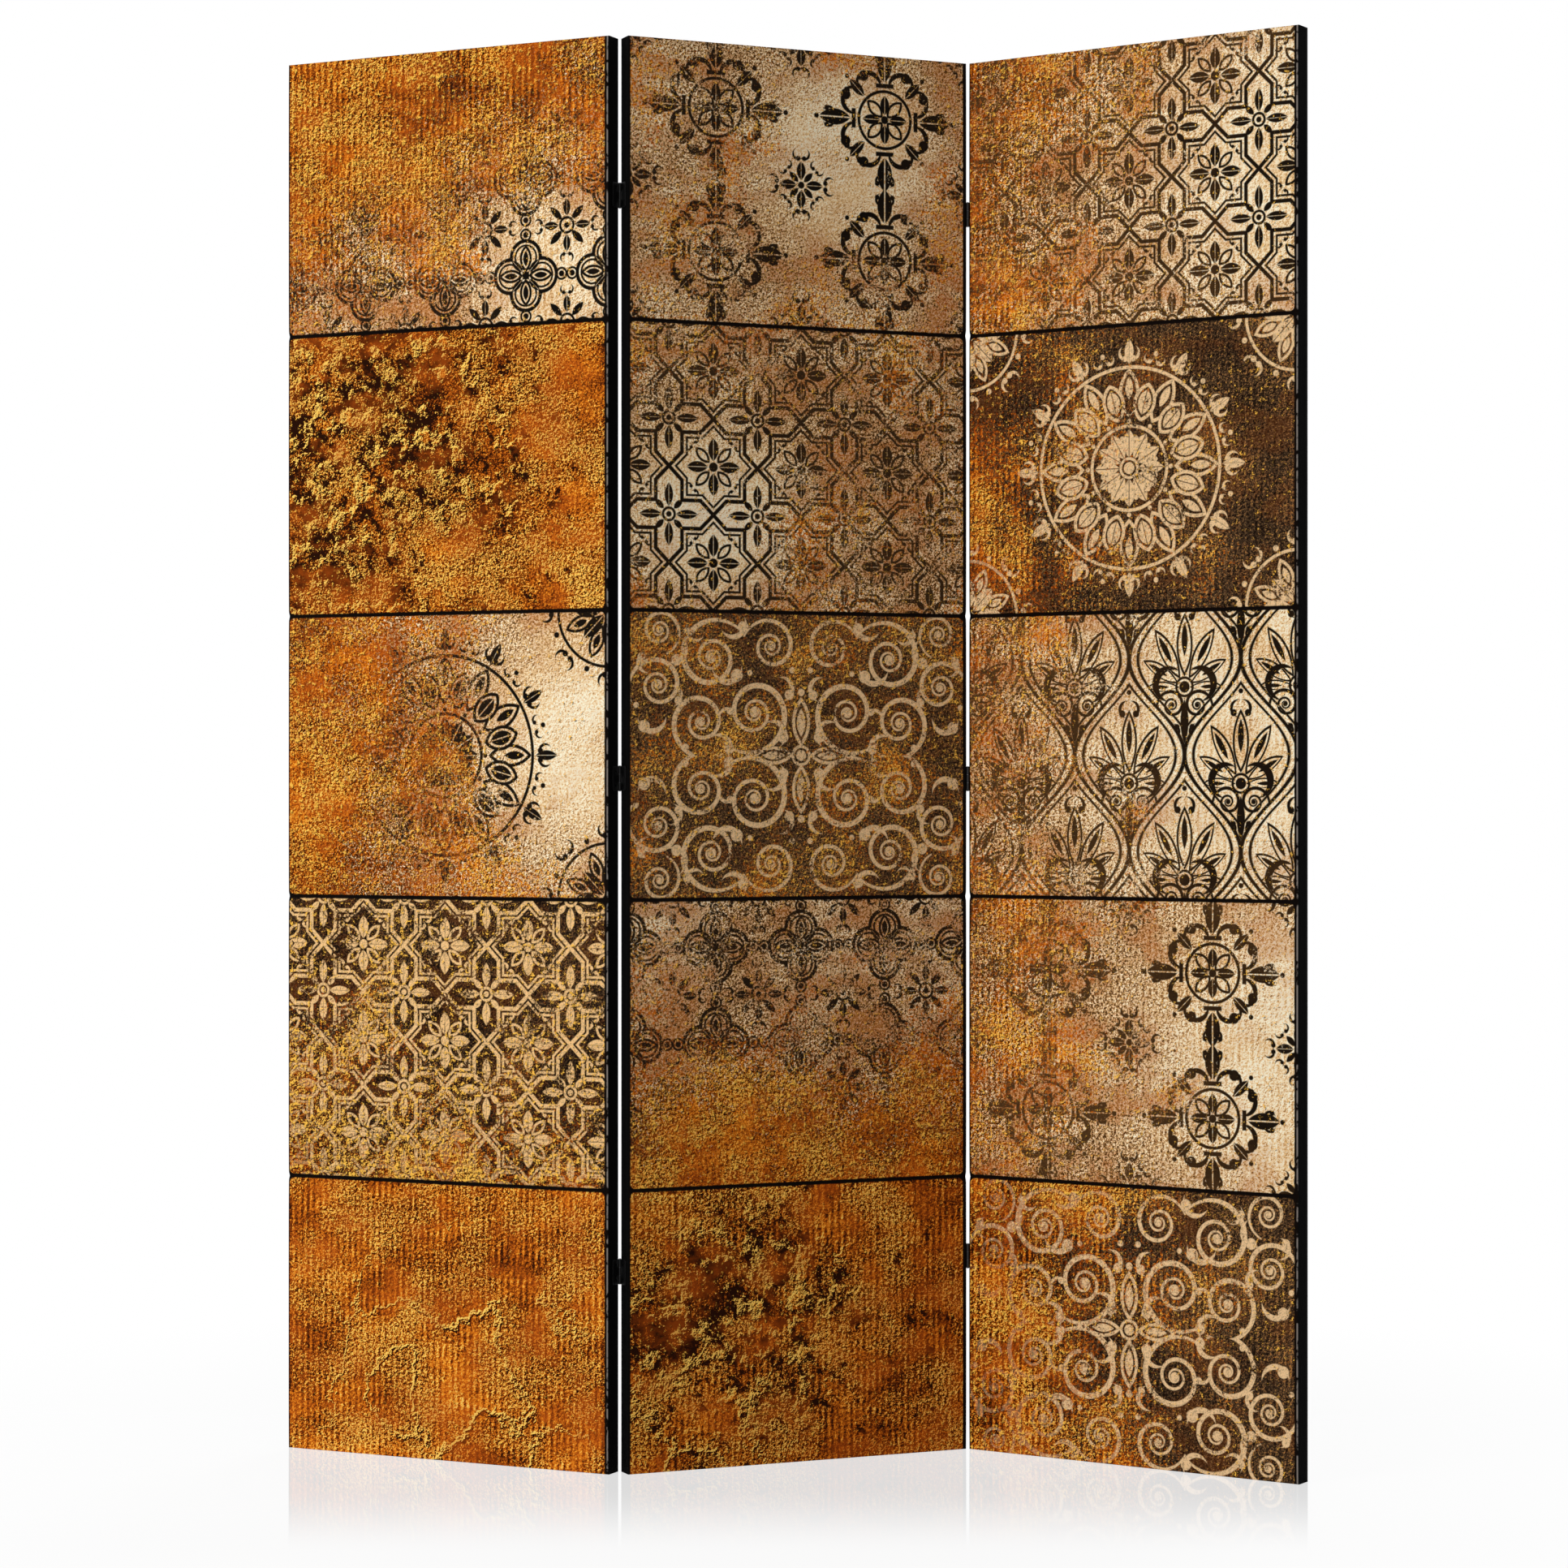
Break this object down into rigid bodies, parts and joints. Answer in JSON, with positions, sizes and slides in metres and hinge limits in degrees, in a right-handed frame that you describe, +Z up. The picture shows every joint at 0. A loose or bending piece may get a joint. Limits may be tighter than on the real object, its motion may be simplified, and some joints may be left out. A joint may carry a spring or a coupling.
{
  "type": "acoustic room divider",
  "caption": "Free-standing zigzag screen of foam-filled, cloth-covered panels joined by small black side hinges, with a patchwork damask print and black edges.",
  "frame": {"origin": "centre, on the floor, of the rectangle that the standing screen takes up", "axes": "+Z up; X along the screen from the left panel to the right one as the printed side is looked at; the printed side looks towards -Y"},
  "size_m": [1.2372, 0.2756, 1.72],
  "materials": {
    "pine": "planed, bare",
    "foam": "open-cell acoustic foam",
    "printed_cloth": "canvas with a gold and bronze patchwork print on the front and black sides",
    "lining": "black non-woven",
    "staple_wire": "galvanised",
    "black_screw": "blackened steel",
    "black_hinge": "satin black paint",
    "hinge_pin": "blackened steel"
  },
  "bodies": {
    "centre_panel": {"centre_panel_left_stile": "pine", "centre_panel_right_stile": "pine", "centre_panel_top_rail": "pine", "centre_panel_bottom_rail": "pine", "centre_panel_cross_bar_1": "pine", "centre_panel_cross_bar_2": "pine", "centre_panel_cross_bar_3": "pine", "centre_panel_cross_bar_4": "pine", "centre_panel_foam_pads": "foam", "centre_panel_cover": "printed_cloth", "centre_panel_lining": "lining", "centre_panel_staples": "staple_wire", "centre_panel_hinge_screws": "black_screw", "left_joint_lower_centre_leaf": "black_hinge", "left_joint_middle_centre_leaf": "black_hinge", "left_joint_upper_centre_leaf": "black_hinge", "right_joint_lower_centre_leaf": "black_hinge", "right_joint_middle_centre_leaf": "black_hinge", "right_joint_upper_centre_leaf": "black_hinge"},
    "left_panel": {"left_panel_left_stile": "pine", "left_panel_right_stile": "pine", "left_panel_top_rail": "pine", "left_panel_bottom_rail": "pine", "left_panel_cross_bar_1": "pine", "left_panel_cross_bar_2": "pine", "left_panel_cross_bar_3": "pine", "left_panel_cross_bar_4": "pine", "left_panel_foam_pads": "foam", "left_panel_cover": "printed_cloth", "left_panel_lining": "lining", "left_panel_staples": "staple_wire", "left_panel_hinge_screws": "black_screw", "left_joint_lower_outer_leaf": "black_hinge", "left_joint_lower_pin": "hinge_pin", "left_joint_middle_outer_leaf": "black_hinge", "left_joint_middle_pin": "hinge_pin", "left_joint_upper_outer_leaf": "black_hinge", "left_joint_upper_pin": "hinge_pin"},
    "right_panel": {"right_panel_left_stile": "pine", "right_panel_right_stile": "pine", "right_panel_top_rail": "pine", "right_panel_bottom_rail": "pine", "right_panel_cross_bar_1": "pine", "right_panel_cross_bar_2": "pine", "right_panel_cross_bar_3": "pine", "right_panel_cross_bar_4": "pine", "right_panel_foam_pads": "foam", "right_panel_cover": "printed_cloth", "right_panel_lining": "lining", "right_panel_staples": "staple_wire", "right_panel_hinge_screws": "black_screw", "right_joint_lower_outer_leaf": "black_hinge", "right_joint_lower_pin": "hinge_pin", "right_joint_middle_outer_leaf": "black_hinge", "right_joint_middle_pin": "hinge_pin", "right_joint_upper_outer_leaf": "black_hinge", "right_joint_upper_pin": "hinge_pin"}
  },
  "joints": [
    {"name": "left_fold", "type": "hinge", "parent": "centre_panel", "child": "left_panel", "pos_m": [-0.19854, -0.0508, 0], "axis": [0, 0, -1], "range_deg": [-49, 131]},
    {"name": "right_fold", "type": "hinge", "parent": "centre_panel", "child": "right_panel", "pos_m": [0.22595, 0.10633, 0], "axis": [0, 0, -1], "range_deg": [-57, 123]}
  ]
}
